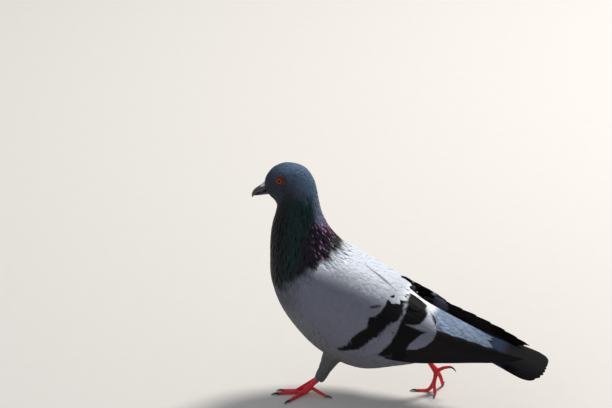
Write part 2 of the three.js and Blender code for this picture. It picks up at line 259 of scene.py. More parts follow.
def body_grid(at, columns, shrink=0.0):
    """Rings of points round the body at sections `at`, and the way out from each ring's middle."""
    rows = rows_at(BODY_TABLE, at)
    turn = np.arange(columns) * 2 * math.pi / columns
    middle = np.stack([(rows[:, 0] + rows[:, 2]) / 2, 0 * at, (rows[:, 1] + rows[:, 3]) / 2], -1)
    arm = np.stack([(rows[:, 0] - rows[:, 2]) / 2, 0 * at, (rows[:, 1] - rows[:, 3]) / 2], -1)
    length = np.linalg.norm(arm, axis=-1)
    arm = arm * (np.maximum(length - shrink, 0.4) / length)[:, None]
    half = np.maximum(rows[:, 4] - shrink, 0.4)
    up = np.cos(turn) + rows[:, 5, None] * np.sin(turn) ** 2
    out = half[:, None] * np.sign(np.sin(turn)) * np.abs(np.sin(turn)) ** 0.92
    points = middle[:, None] + arm[:, None] * up[..., None] + out[..., None] * np.array([0, 1, 0])
    return points, points - middle[:, None]


def body_surface():
    """The body with its head and neck, v running round from the back line by the right side."""
    points, way = body_grid(np.linspace(0, BODY_LAST, 230), 120)
    return Surface(points, way, wraps=True)


def wing_grid(at, across, depth, side=-1):
    """A folded wing's outer face moved inward by a share of its depth, the right one turned to the left."""
    rows = rows_at(WING_TABLE, at)
    if side == RIGHT:
        rows[:, 2] += rows_at([[lift] for lift in RIGHT_LIFT], at)[:, 0]
    upper, lower = rows[:, None, :3], rows[:, None, 3:6]
    chord = lower - upper
    line = unit(chord)
    out = unit(np.array([0, -1, 0.2]) - line * (line * [0, -1, 0.2]).sum(-1, keepdims=True))
    round_ = np.sin(math.pi * across ** 0.9) ** 0.8
    thick = 1.0 + (rows[:, 7, None] - 1.0) * round_ ** 0.5
    rise = rows[:, 6, None] * round_ - thick * depth
    points = upper + chord * across[None, :, None] + out * rise[..., None]
    return points, np.broadcast_to(out, points.shape)


def wing_surface(side):
    points, out = wing_grid(np.linspace(0, WING_LAST, 150), np.linspace(0, 1, 41), 0.0, side)
    return Surface(points, out)


def tail_grid(side, along, across):
    """The tail's upper (side 1) or lower (side -1) face."""
    u, v = along[:, None], across[None, :]
    half = lerp(19, 26, u ** 0.8)
    thick = lerp(9, 2, u ** 0.7)
    short = 17 * u ** 3 * v ** 4
    edge = 0.35 + 0.65 * np.sqrt(1 - v ** 4)
    x = lerp(118, 229, u) - short
    z = lerp(84, 49.6, u) - np.where(v < 0, 8.5, 1.5) * v * v + side * thick * edge / 2 + 0.25 * short
    return np.stack([x, half * v, z], -1)


def tail_surface(side):
    points = tail_grid(side, np.linspace(0, 1, 60), np.linspace(-1, 1, 41))
    return Surface(points, np.array([0, 0, float(side)]))


def wrapped_surface(body, wings):
    """The body's surface let out over the folded wings, as far as the cape of feathers covers them."""
    points = body.points.copy()
    out = unit(body.normal)
    trees = []
    for wing in wings:
        rows, columns = wing.points.shape[:2]
        faces = [(i * columns + j, (i + 1) * columns + j, (i + 1) * columns + j + 1, i * columns + j + 1)
                 for i in range(rows - 1) for j in range(columns - 1)]
        trees.append(BVHTree.FromPolygons(wing.points.reshape(-1, 3).tolist(), faces))
    rise = np.zeros(points.shape[:2])
    for i in range(points.shape[0]):
        for j in range(points.shape[1]):
            start = Vector(points[i, j] + out[i, j] * 30)
            line = Vector(-out[i, j])
            for tree in trees:
                hit, _, _, distance = tree.ray_cast(start, line, 30)
                if hit is not None:
                    rise[i, j] = max(rise[i, j], 30 - distance)
    covered = rise.copy()
    for _ in range(6):
        rise = (2 * rise + np.roll(rise, 1, 1) + np.roll(rise, -1, 1)) / 4
        rise[1:-1] = (2 * rise[1:-1] + rise[:-2] + rise[2:]) / 4
        rise = np.maximum(rise, covered * 0.98)
    level = rise.copy()
    for _ in range(40):
        level = (2 * level + np.roll(level, 1, 1) + np.roll(level, -1, 1)) / 4
        level = np.maximum(level, covered * 0.98)
    columns = points.shape[1]
    column = np.arange(columns)
    from_back = np.minimum(column, columns - column) * 360 / columns
    rise = lerp(rise, level, ramp(from_back, 85, 65))
    for _ in range(3):
        rise = (2 * rise + np.roll(rise, 1, 1) + np.roll(rise, -1, 1)) / 4
    return Surface(points + out * rise[..., None], out, wraps=True), covered


def tube_grid(path, sides=24, per_row=8):
    """Rings along a path of x, y, z, radius and height ratio."""
    path = np.array([list(row) + [1.0] * (5 - len(row)) for row in path], float)
    rows = rows_at(path, np.linspace(0, len(path) - 1, (len(path) - 1) * per_row + 1))
    along = np.gradient(rows[:, :3], axis=0)
    side = np.stack([-along[:, 1], along[:, 0], 0 * along[:, 0]], -1)
    steep = np.linalg.norm(side, axis=-1) < 0.2 * np.linalg.norm(along, axis=-1)
    side[steep] = (0, 1, 0)
    side = unit(side)
    up = unit(np.cross(along, side))
    turn = np.arange(sides) * 2 * math.pi / sides
    out = (side[:, None] * np.cos(turn)[:, None] * rows[:, 3, None, None]
           + up[:, None] * np.sin(turn)[:, None] * (rows[:, 3] * rows[:, 4])[:, None, None])
    return rows[:, None, :3] + out, out


def tube_surface(path, **settings):
    points, out = tube_grid(path, **settings)
    return Surface(points, out, wraps=True)


# ---------------------------------------------------------------- colours
def screen(r, g, b):
    """A colour named by its 0 to 255 screen values, as the linear values that shaders take."""
    c = np.array([r, g, b], float) / 255
    return np.where(c <= 0.04045, c / 12.92, ((c + 0.055) / 1.055) ** 2.4)


SLATE = screen(41, 46, 57)
LIT_CROWN = screen(77, 97, 122)
NECK_DARK = screen(8, 8, 13)
NECK_GREEN = screen(10, 38, 38)
NECK_PURPLE = screen(22, 16, 30)
# Colours of painted glints and sheen on the neck feathers' tips.
NECK_PINK_GLINT = screen(248, 166, 226)
NECK_GREEN_GLINT = screen(132, 186, 134)
NECK_SHEEN = screen(28, 88, 74)
LIT_NAPE = screen(102, 114, 140)
BREAST = screen(9, 8, 17)
LIT_GREY = screen(204, 210, 220)
GREY = screen(107, 109, 123)
BELLY = screen(104, 104, 110)
THIGH = screen(85, 85, 87)
BLACK = screen(10, 10, 13)
WHITE = screen(240, 242, 245)
RUMP = screen(118, 134, 158)
PRIMARY = screen(23, 20, 21)
TAIL = screen(30, 42, 62)
TAIL_BAND = screen(9, 8, 12)
RED = screen(212, 40, 54)

# Outlines of the wing's markings, as x and z in the bird's frame.
FRONT_BAR = [(34, 60), (48.5, 69.4), (53.4, 78.3), (60.7, 85.2), (66.1, 88.6), (67.9, 98.7), (72.6, 99.4),
             (77.5, 103), (80.9, 108), (85, 126), (97.4, 126), (97.2, 103.8), (96.2, 99.9), (93.2, 95.2),
             (87, 93.1), (82.3, 86.8), (76.6, 80.3), (72, 78.7), (66.5, 72.4), (58.4, 65.1), (48.8, 62.4),
             (40.8, 59.6)]
REAR_BAR = [(98.8, 126), (99, 106), (99.2, 101.8), (97.7, 97.7), (95.4, 90.7), (92.8, 83.6), (89.1, 76.6),
            (86.8, 72.3), (81.3, 66.4), (75.2, 59), (72, 44), (96, 44), (101.4, 60.2), (102.4, 68.1),
            (105.8, 74.9), (110.5, 79.4), (115, 83.6), (120.3, 85.8), (114.6, 87.3), (109.6, 89.1),
            (100.4, 92.1), (107.2, 91.5), (113.1, 92.1), (116.4, 94.7), (118, 97), (118.5, 99), (116, 101.5),
            (119, 126)]
DARK_MARK = [(67.5, 108), (76.5, 108.6), (77, 107), (68, 106.4)]
# Painted shade of a groove between the left shoulder's long feathers, as x and y.
GROOVE_SHADE = [(55, -6.2), (65, -7.0), (76, -8.8), (88, -13), (76, -12), (65, -9)]
LOBE_BACK = [(119, 101), (122.6, 95.6), (128.3, 88.9), (128.8, 84.4), (126.6, 79.3), (120.5, 73.6),
             (112.5, 69.8), (102.8, 69.1)]


def mix(a, b, t):
    t = np.asarray(t, float)[..., None]
    return a * (1 - t) + b * t


def body_paint(point, uv):
    """The plumage of head, neck and trunk: `uv` is the place on the body's surface."""
    x, y, z = point[..., 0], point[..., 1], point[..., 2]
    s = uv[..., 0] * BODY_LAST
    back = (1 + np.cos(uv[..., 1] * 2 * math.pi)) / 2
    wave = np.sin(x * 0.31 + y * 0.43) * np.sin(z * 0.37 - y * 0.29 + 1.3)

    # Painted light: the top of the head behind the bill is painted lighter, where light falls on it from above.
    head = mix(SLATE, LIT_CROWN, ramp(back, 0.5, 1.0) * ramp(s, 1.2, 3.6))
    head = mix(head, 0.8 * SLATE, bell(z, 200, 8) * ramp(s, 0.4, 1.5) * (1 - back))
    green = ramp(z, 214, 196) * ramp(x, -26, -4)
    neck = mix(NECK_DARK, NECK_GREEN, 0.9 * green)
    nape = ramp(x - 0.22 * (z - 150) + 2 * wave, -8, 8)
    neck = mix(neck, NECK_PURPLE, ramp(z + 4 * wave, 184, 168) * nape)
    neck = mix(neck, BREAST, ramp(x, -10, -30) * ramp(z, 196, 176))
    # The head's grey running down the hind neck, painted much lighter along the top line as a highlight where light
    # falls on it.
    neck = mix(neck, LIT_NAPE, 0.8 * ramp(back, 0.9, 0.995) * ramp(z, 164, 178))
    paint = mix(head, neck, ramp(z + 0.25 * x + 3 * wave, 206, 190) * ramp(s, 3.6, 4.6))

    body = mix(BELLY, GREY, ramp(back, 0.1, 0.5))
    body = mix(body, 0.5 * GREY, ramp(x, 16, -22) * ramp(z, 82, 104))
    # Painted light: the top of the trunk is painted pale, where light falls on it.
    body = mix(body, LIT_GREY, ramp(back, 0.62, 0.86))
    # Painted shade: a darker streak where a groove between the shoulder's long feathers lies in shade.
    body = mix(body, 0.3 * GREY, 0.8 * ramp(inside(GROOVE_SHADE, x, y), -0.9, 0.9) * ramp(z, 100, 106))
    rump = mix(RUMP, RUMP * 0.6, ramp(x, 136, 170)) * (1 + 0.25 * wave[..., None])
    rump = mix(WHITE, rump, ramp(x + 2 * wave, 118, 125))
    body = mix(body, rump, ramp(x, 94, 99) * ramp(back, 0.3, 0.5))
    body = mix(body, GREY * 0.8, ramp(x, 96, 120) * ramp(back, 0.35, 0.15))
    collar = z - (128.5 + 0.66 * x) + 3 * wave
    return mix(body, paint, ramp(collar, lerp(-5, -12, ramp(x, 10, -20)), 4.5) * ramp(x, 80, 60))


def wing_paint(point, uv):
    x, z = point[..., 0], point[..., 2]
    u, v = uv[..., 0] * WING_LAST, uv[..., 1]
    # Painted light: the shield is painted pale towards its upper edge, where light falls on it.
    shield = mix(LIT_GREY, GREY, ramp(v + 0.03 * u, 0.08, 0.42))
    shield = mix(shield, GREY * 0.92, ramp(v, 0.6, 1.0))
    flight = mix(PRIMARY, PRIMARY * 0.8, ramp(u, 5, 8))
    behind = inside([(x, z) for x, z in LOBE_BACK] + [(92, 62), (70, 50), (240, 20), (240, 120)], x, z)
    paint = mix(shield, flight, ramp(behind, -0.8, 0.8))
    for outline in (FRONT_BAR, REAR_BAR, DARK_MARK):
        paint = mix(paint, BLACK, ramp(inside(outline, x, z), -0.7, 0.7))
    return paint


def cape_paint(point, uv):
    """The long feathers of the back: towards the cape's edge their painted light fades and they turn as grey as the
    wing beneath.
    """
    above = point[..., 2] - np.interp(point[..., 0], *zip(*CAPE_EDGE))
    return mix(body_paint(point, uv), mix(LIT_GREY, GREY, 0.6), 0.85 * ramp(above, 15, 0) * ramp(point[..., 0], 98, 84))


def thigh_paint(share):
    return mix(BELLY, THIGH, ramp(share, 0.1, 0.45))


def tail_paint(point, uv):
    x = point[..., 0]
    across = np.abs(uv[..., 1] * 2 - 1)
    paint = mix(TAIL, TAIL * 1.1, across)
    return mix(paint, TAIL_BAND, ramp(x, 183, 194))


# ---------------------------------------------------------------- materials
def principled(name, roughness, **sockets):
    material = bpy.data.materials.new(name)
    material.use_nodes = True
    shader = material.node_tree.nodes["Principled BSDF"]
    shader.inputs["Roughness"].default_value = roughness
    for socket, value in sockets.items():
        shader.inputs[socket.replace("_", " ")].default_value = value
    return material, material.node_tree, shader


def math_node(tree, operation, a, b=None):
    node = tree.nodes.new("ShaderNodeMath")
    node.operation = operation
    for socket, value in zip(node.inputs, (a, b)):
        if isinstance(value, (int, float)):
            socket.default_value = value
        elif value is not None:
            tree.links.new(value, socket)
    return node.outputs[0]


def noise_node(tree, scale, detail=2.0, where=None):
    noise = tree.nodes.new("ShaderNodeTexNoise")
    noise.inputs["Scale"].default_value = scale
    noise.inputs["Detail"].default_value = detail
    if where is None:
        where = tree.nodes.new("ShaderNodeTexCoord").outputs["Object"]
    tree.links.new(where, noise.inputs["Vector"])
    return noise.outputs["Fac"]


def bump(tree, shader, height, strength, distance):
    node = tree.nodes.new("ShaderNodeBump")
    node.inputs["Strength"].default_value = strength
    node.inputs["Distance"].default_value = distance
    tree.links.new(height, node.inputs["Height"])
    tree.links.new(node.outputs[0], shader.inputs["Normal"])


def blend_colours(tree, factor, a, b):
    node = tree.nodes.new("ShaderNodeMix")
    node.data_type = "RGBA"
    tree.links.new(factor, node.inputs["Factor"])
    for socket, value in ((node.inputs["A"], a), (node.inputs["B"], b)):
        if isinstance(value, bpy.types.NodeSocket):
            tree.links.new(value, socket)
        else:
            socket.default_value = (*[float(c) for c in value], 1)
    return node.outputs["Result"]


def mottled(name, colour, other, scale, roughness, depth=0.0, **sockets):
    """A plain surface with two close colours in a fine mottle, and a bump of the same scale."""
    material, tree, shader = principled(name, roughness, **sockets)
    noise = noise_node(tree, scale, 4.0)
    tree.links.new(blend_colours(tree, noise, colour, other), shader.inputs["Base Color"])
    if depth:
        bump(tree, shader, noise, 0.6, depth)
    return material, tree, shader


def feather_material(name, roughness=0.6, barbs=48.0, depth=0.3, **sockets):
    """Painted by the mesh's own colours; fine barbs run slantwise from the shaft on the Vane map."""
    material, tree, shader = principled(name, roughness, **sockets)
    paint = tree.nodes.new("ShaderNodeVertexColor")
    paint.layer_name = "Paint"
    vane = tree.nodes.new("ShaderNodeUVMap")
    vane.uv_map = "Vane"
    split = tree.nodes.new("ShaderNodeSeparateXYZ")
    tree.links.new(vane.outputs[0], split.inputs[0])
    slant = math_node(tree, "MULTIPLY", math_node(tree, "ABSOLUTE", split.outputs[0]), 0.8)
    wave = math_node(tree, "SINE", math_node(tree, "MULTIPLY", math_node(
        tree, "SUBTRACT", split.outputs[1], slant), barbs))
    fine = noise_node(tree, 1400)
    height = math_node(tree, "ADD", math_node(tree, "MULTIPLY", wave, 0.3), fine)
    bump(tree, shader, height, depth, 0.00025)
    shade = math_node(tree, "MULTIPLY_ADD", wave, 0.035)
    shade.node.inputs[2].default_value = 0.965
    dull = tree.nodes.new("ShaderNodeMix")
    dull.data_type = "RGBA"
    dull.blend_type = "MULTIPLY"
    dull.inputs["Factor"].default_value = 1.0
    tree.links.new(paint.outputs["Color"], dull.inputs["A"])
    tree.links.new(shade, dull.inputs["B"])
    tree.links.new(dull.outputs["Result"], shader.inputs["Base Color"])
    return material


# ---------------------------------------------------------------- meshes
def make_object(name, points, triangles, material, at, smooth=None):
    """A mesh object from points in millimetres, `at` being where their frame lies in the world."""
    mesh = bpy.data.meshes.new(name)
    mesh.vertices.add(len(points))
    mesh.vertices.foreach_set("co", (points * MM + at).astype(np.float32).ravel())
    mesh.loops.add(triangles.size)
    mesh.loops.foreach_set("vertex_index", triangles.ravel().astype(np.int32))
    mesh.polygons.add(len(triangles))
    mesh.polygons.foreach_set("loop_start", np.arange(0, triangles.size, 3, dtype=np.int32))
    mesh.update(calc_edges=True)
    mesh.polygons.foreach_set("use_smooth", np.ones(len(triangles), bool) if smooth is None else smooth)
    mesh.materials.append(material)
    obj = bpy.data.objects.new(name, mesh)
    bpy.context.scene.collection.objects.link(obj)
    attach(obj, "root")
    return obj


def paint_points(obj, colours):
    layer = obj.data.color_attributes.new("Paint", "FLOAT_COLOR", "POINT")
    rgba = np.ones((len(colours), 4), dtype=np.float32)
    rgba[:, :3] = np.clip(colours, 0.0, 1.0)
    layer.data.foreach_set("color", rgba.ravel())


def add_uv(obj, name, uv):
    """A UV map from one (u, v) for each point."""
    layer = obj.data.uv_layers.new(name=name)
    index = np.empty(len(obj.data.loops), dtype=np.int64)
    obj.data.loops.foreach_get("vertex_index", index)
    layer.data.foreach_set("uv", uv[index].astype(np.float32).ravel())


def grid_triangles(rows, columns, wraps=False):
    i, j = np.meshgrid(np.arange(rows - 1), np.arange(columns if wraps else columns - 1), indexing="ij")
    k = (j + 1) % columns
    a, b, c, d = i * columns + j, (i + 1) * columns + j, (i + 1) * columns + k, i * columns + k
    return np.concatenate([np.stack([a, b, c], -1).reshape(-1, 3), np.stack([a, c, d], -1).reshape(-1, 3)])


def closed_tube(grid):
    """Points and triangles of a tube of rings with a fan at each end."""
    rows, columns = grid.shape[:2]
    points = np.concatenate([grid.reshape(-1, 3), grid[[0]].mean(1), grid[[-1]].mean(1)])
    j = np.arange(columns)
    k = (j + 1) % columns
    last = (rows - 1) * columns
    first_fan = np.stack([j, k, np.full(columns, rows * columns)], -1)
    last_fan = np.stack([last + k, last + j, np.full(columns, rows * columns + 1)], -1)
    return points, np.concatenate([grid_triangles(rows, columns, True), first_fan, last_fan])


def outward_facing(points, triangles):
    a, b, c = (points[triangles[:, k]] for k in range(3))
    if (a * np.cross(b, c)).sum() < 0:
        triangles = triangles[:, ::-1]
    return triangles


def joined(parts):
    points, triangles, start = [], [], 0
    for p, t in parts:
        points.append(p)
        triangles.append(outward_facing(p, t) + start)
        start += len(p)
    return np.concatenate(points), np.concatenate(triangles)


# ---------------------------------------------------------------- feathers
ROLL_FROM = 0.86  # the share of a vane's half width from which its edge rolls down


class Coat:
    """Feathers of one piece, gathered before the mesh is made."""

    def __init__(self, name, material, slot, flip_too=False):
        self.name, self.material, self.slot, self.flip_too = name, material, slot, flip_too
        self.points, self.triangles, self.smooth, self.paint, self.vane, self.bake = [], [], [], [], [], []
        self.count = 0

    def add(self, surface, shaft, half, height, painter, bake, patch=0.003, camber=0.12,
            ridge=0.0, fringe=0.0, tint=None, vary=0.05, columns=5, jag=0.0, roll=0.15):
        """Vanes on a surface. `shaft` is (N, R, 2) places along each shaft, `half` (N, R) half widths,
        `height` (N, R) heights over the surface and `bake` (N, 2) the roots' places on the OFBake map."""
        count, rows = half.shape
        x = np.linspace(-1, 1, columns)
        x[1], x[-2] = -ROLL_FROM, ROLL_FROM
        line = surface.place(shaft)
        along = unit(np.gradient(line, axis=1))
        normal = surface.read(surface.normal, shaft)
        side = unit(np.cross(normal, along))
        step = surface.steps(shaft, side)
        offset = half[..., None] * x
        uv = shaft[:, :, None] + step[:, :, None] * offset[..., None]
        if jag:
            ragged = jag * random.standard_normal((count, rows, columns)) * ramp(np.linspace(0, 1, rows), 0.5, 1)[:, None]
            uv = uv + surface.steps(shaft, along)[:, :, None] * ragged[..., None]
        lift = height[..., None] - camber * half[..., None] * x ** 2
        lift[..., [0, -1]] -= roll
        lift[:, -1] -= roll
        if ridge:
            lift = lift + ridge * np.maximum(0, 1 - np.abs(x) * columns) * np.linspace(1, 0.3, rows)[:, None]
        points = surface.place(uv) + surface.read(surface.normal, uv) * lift[..., None]

        paint = painter(points, uv)
        share = np.linspace(0, 1, rows)[None, :, None]
        edge = np.maximum(np.abs(x)[None, None], ramp(share, 0.6, 1.0))
        tone = 1 + fringe * ramp(edge, 0.5, 1.0) * ramp(share, 0.2, 0.6)
        tone = tone * (1 + vary * random.standard_normal((count, 1, 1)))
        paint = paint * np.broadcast_to(tone, paint.shape[:-1])[..., None]
        if tint is not None:
            paint = tint(paint, points, share, x)

        ribbon = grid_triangles(rows, columns)
        i = np.arange(rows - 1)
        low, high = i * columns, (i + 1) * columns
        floor_a = np.stack([low, low + columns - 1, high + columns - 1], -1)
        floor_b = np.stack([low, high + columns - 1, high], -1)
        j = np.arange(1, columns - 1)
        last = (rows - 1) * columns
        root_cap = np.stack([0 * j, j, j + 1], -1)
        tip_cap = np.stack([last + 0 * j, last + j + 1, last + j], -1)
        template = np.concatenate([ribbon, floor_a, floor_b, root_cap, tip_cap])
        # the template's top has to face out along the surface's normal
        p = points[0].reshape(-1, 3)
        a, b, c = (p[ribbon[:, k]] for k in range(3))
        if (np.cross(b - a, c - a) * normal[0, 0]).sum() < 0:
            template = template[:, ::-1]
        each = rows * columns
        triangles = template[None] + (np.arange(count) * each)[:, None, None] + self.count
        top = np.zeros(len(template), bool)
        top[: len(ribbon)] = True
        spread = np.stack(np.broadcast_arrays(x[None, None] * 0.5, share - 0.5), -1)
        spread = np.broadcast_to(spread, (count, rows, columns, 2))
        self.points.append(points.reshape(-1, 3))
        self.paint.append(paint.reshape(-1, 3))
        length = np.linalg.norm(np.diff(line, axis=1), axis=-1).sum(1)
        ratio = (length / (2 * half.max(1)))[:, None, None]
        vane = np.stack([np.broadcast_to(x, (count, rows, columns)) * 0.5,
                         np.broadcast_to(share * ratio, (count, rows, columns))], -1)
        self.vane.append(vane.reshape(-1, 2))
        patch = np.broadcast_to(patch, (2,))
        self.bake.append(np.clip(bake[:, None, None] + spread * patch, 0, 1).reshape(-1, 2))
        self.triangles.append(triangles.reshape(-1, 3))
        self.smooth.append(np.tile(top, count))
        self.count += count * each

    def finish(self):
        points, triangles = np.concatenate(self.points), np.concatenate(self.triangles)
        paint, vane, bake = (np.concatenate(a) for a in (self.paint, self.vane, self.bake))
        obj = make_object(self.name, points, triangles, self.material, BODY_AT, np.concatenate(self.smooth))
        paint_points(obj, paint)
        add_uv(obj, "Vane", vane)
        add_uv(obj, "OFBake", bake)
        print(self.name, len(triangles))
        return obj


def walk(surface, root, direction, length, rows, bend=0.0):
    """Shafts from `root` places, each carried on along a direction (a world vector, or None for +u)."""
    shaft = [root]
    share = np.linspace(0, 1, rows)
    turn = np.zeros(len(root)) + bend
    for a, b in zip(share[:-1], share[1:]):
        uv = shaft[-1]
        normal = surface.read(surface.normal, uv)
        way = surface.read(surface.along, uv) if direction is None else direction(uv)
        way = unit(way - normal * (way * normal).sum(-1, keepdims=True))
        side = np.cross(normal, way)
        angle = turn * (0.5 + (a + b) / 2)
        way = way * np.cos(angle)[:, None] + side * np.sin(angle)[:, None]
        shaft.append(uv + surface.steps(uv, way) * (length * (b - a))[:, None])
    return np.stack(shaft, 1)


def scatter(surface, size, keep, tries=9.0):
    """Places spread evenly over a surface, `size` millimetres apart, where `keep` allows them."""
    cell = np.linalg.norm(np.cross(surface.along, surface.across), axis=-1)
    rows, columns = cell.shape
    grid = np.stack(np.meshgrid(np.linspace(0, 1, rows), np.arange(columns) / (columns - (not surface.wraps)),
                                indexing="ij"), -1)
    weight = (cell / size(grid) ** 2 * keep(grid)).ravel()
    area = weight.sum() / (rows * columns)
    count = int(area * tries)
    picks = random.choice(rows * columns, count, p=weight / weight.sum())
    uv = grid.reshape(-1, 2)[picks] + (random.random((count, 2)) - 0.5) / np.array([rows, columns])
    uv[:, 0] = np.clip(uv[:, 0], 0, 1)
    uv = uv[keep(uv) > 0]
    points = surface.place(uv)
    radius = size(uv) * 0.86
    tree = KDTree(len(points))
    for index, point in enumerate(points):
        tree.insert(point, index)
    tree.balance()
    free = np.ones(len(points), bool)
    chosen = []
    for index in range(len(points)):
        if free[index]:
            chosen.append(index)
            for _, other, _ in tree.find_range(points[index], radius[index]):
                free[other] = False
    return uv[chosen]


def outline(share, tip=3.0, root=0.45):
    """A feather's half width along its length, as a share of its widest."""
    return np.minimum(1, (share / 0.5 + 0.02)) ** root * np.sqrt(np.clip(1 - share ** tip, 0.012, 1))


def plumage(coat, surface, places, length, width, sink, painter, bake, rows=7, tip=3.0, top=0.15,
            direction=None, spread=0.12, columns=5, rough=0.08, lay=0.0, rise=0.3, **looks):
    """Small contour feathers at `places`: roots `sink` under the surface and tips just on it."""
    count = len(places)
    size = 1 + 0.1 * random.standard_normal(count)
    long = length(places) * size
    wide = width(places) * size / 2
    bend = spread * random.standard_normal(count)
    shaft = walk(surface, places, direction, long, rows, bend)
    share = 1 - (1 - np.linspace(0, 1, rows)) ** 1.25
    index = share * (rows - 1)
    low = np.minimum(index.astype(int), rows - 2)
    shaft = shaft[:, low] + (shaft[:, low + 1] - shaft[:, low]) * (index - low)[None, :, None]
    half = wide[:, None] * outline(share, tip)[None]
    half = half * (1 + rough * random.standard_normal(half.shape) * ramp(share, 0.3, 0.7))
    deep = sink(places)[:, None]
    high = top + 0.05 * random.random(count)[:, None] + lay * random.standard_normal(count)[:, None]
    height = -deep + (deep + high) * np.sin(share * math.pi / 2)[None] ** rise
    coat.add(surface, shaft, half, height, painter, bake(places), columns=columns, **looks)


# ---------------------------------------------------------------- legs, bill and claws, as in the CAD
# Paths of x, y, z, radius and height ratio; the legs' are in the left foot's frame.
LEGS = {
    "left": {
        "thigh": [(43.3, -23, 62.4, 12, 1.2), (31.5, -24, 48.6, 9.6, 1.0), (24.4, -24.8, 34, 6.4, 0.95),
                  (19, -24.6, 22.6, 4.6, 1.05)],
        "shank": [(25.3, -25, 29.4, 2.7), (17.2, -23.6, 20.1, 2.6), (9.8, -21.2, 11.7, 2.7),
                  (3.4, -19.2, 3.5, 3.6), (0.5, -19, 2.4, 2.6)],
        "toes": [
            [(6.5, -18.6, 7.6, 1.9), (16, -20.4, 4.2, 1.6), (24, -21.6, 0.95, 1.2)],
            [(2, -18.6, 2.0, 2.1), (-8, -19.4, 1.5, 1.75), (-17.2, -20.6, 1.15, 1.4)],
            [(2, -19.4, 2.1, 2.2), (-9, -23, 1.6, 1.85), (-20.5, -27.6, 1.15, 1.4)],
            [(2.5, -20, 2.0, 2.1), (-2.5, -29.5, 1.5, 1.75), (-7.5, -38.6, 1.1, 1.35)],
        ],
    },
    "right": {
        "thigh": [(83.3, 10, 64.4, 12, 1.2), (95.3, 11, 52.4, 10, 1.15), (104.3, 11.4, 43.4, 6.4, 1.1),
                  (109, 12, 38.7, 4.2, 1.1)],
        "shank": [(105.2, 11.6, 43.3, 2.3), (111.9, 13, 35.6, 2.2), (117.3, 14.8, 27.6, 2.3),
                  (121.2, 16, 21.5, 3.1), (121.6, 16, 19.6, 2.4)],
        "toes": [
            [(123.4, 16, 22.4, 1.9), (129, 15, 26.2, 1.6), (134.5, 14, 28.2, 1.25)],
            [(121.5, 14.6, 19.6, 2.0), (120.6, 11.4, 10, 1.8), (122.2, 8.6, 2.6, 1.5), (122.4, 6.2, 0.95, 1.2)],
            [(121, 16, 19.2, 2.2), (119.4, 14.6, 9.5, 1.9), (114.5, 12.9, 1.7, 1.7), (104.5, 10.8, 1.1, 1.35)],
            [(122.5, 17.6, 19.8, 2.1), (124.8, 21.4, 12, 1.8), (125.8, 25.6, 3.2, 1.5), (125.8, 28.0, 1.0, 1.25)],
        ],
    },
}
CLAW_LENGTH = 7.2
CLAW_TOE = 1.4
CLAW_DROP = 0.54
CLAW_REST = 0.35
LIFTED = 3
CLAW = [(-0.12, 0, 0.8), (0.35, 0.12, 0.78), (0.75, 0.55, 0.48), (1, 1, 0.2)]
UPPER_BILL = [(-34.0, 0, 203.6, 4.4, 0.78), (-39.5, 0, 201.8, 3.9, 0.85), (-44.5, 0, 199.0, 3.1, 0.92),
              (-48.2, 0, 196.3, 2.5, 1.0), (-50.5, 0, 193.8, 1.7, 1.05), (-51.7, 0, 191.2, 0.9, 1.1),
              (-52.0, 0, 189.4, 0.35, 1)]
LOWER_BILL = [(-34.0, 0, 197.8, 4.2, 0.6), (-39.5, 0, 195.9, 3.6, 0.55), (-44.0, 0, 194.1, 2.7, 0.5),
              (-47.6, 0, 192.8, 1.8, 0.55), (-50.2, 0, 192.0, 1.1, 0.55), (-51.0, 0, 191.5, 0.45, 0.6)]
CERE_SPREAD = 1.7
CERE = [(-36.0, 0, 206.6, 1.0, 1), (-38.8, 0, 205.2, 2.1, 0.85), (-41.4, 0, 203.4, 1.8, 0.8),
        (-43.6, 0, 201.6, 0.7, 1)]


def from_foot(path):
    """A leg's path in the bird's own frame."""
    return [(row[0] - SWAY[0], row[1] - SWAY[1], row[2] - SWAY[2], *row[3:]) for row in path]


def claw_path(toe):
    x, y, z, r = toe[-1][:4]
    along = unit(np.array([x - toe[-2][0], y - toe[-2][1]]))
    length = CLAW_LENGTH * r / CLAW_TOE
    drop = z - CLAW_REST if z < LIFTED else CLAW_DROP * length
    return [(x + along[0] * length * out, y + along[1] * length * out,
             z + 0.5 * r * math.sin(math.pi * out) - drop * down, r * thick) for out, down, thick in CLAW]


def above_floor(points):
    """Leg points pressed flat where they meet the floor."""
    floor = -BODY_AT[2] / MM
    points = points.copy()
    points[..., 2] = np.maximum(points[..., 2], floor)
    return points


# ---------------------------------------------------------------- skin
# The lower edge of the cape of back feathers over each wing, as x and z, and its end over the rump.
CAPE_EDGE = [(-10, 142), (16, 136), (29, 133), (57, 120), (80, 111), (98, 108.5)]
CAPE_END = 98.5
RUMP_END = 178
HEAD_DEPTH, NECK_DEPTH, BODY_DEPTH = 0.9, 1.9, 2.8  # how deep the coat is


def coat_depth(uv):
    s = uv[..., 0] * BODY_LAST
    depth = lerp(HEAD_DEPTH, NECK_DEPTH, ramp(s, 4.6, 6.2))
    depth = lerp(depth, BODY_DEPTH, ramp(s, 8, 10))
    return depth * lerp(0.45, 1, ramp(s, 0, 1.4)) * lerp(1, 0.5, ramp(s, 13.5, 15))


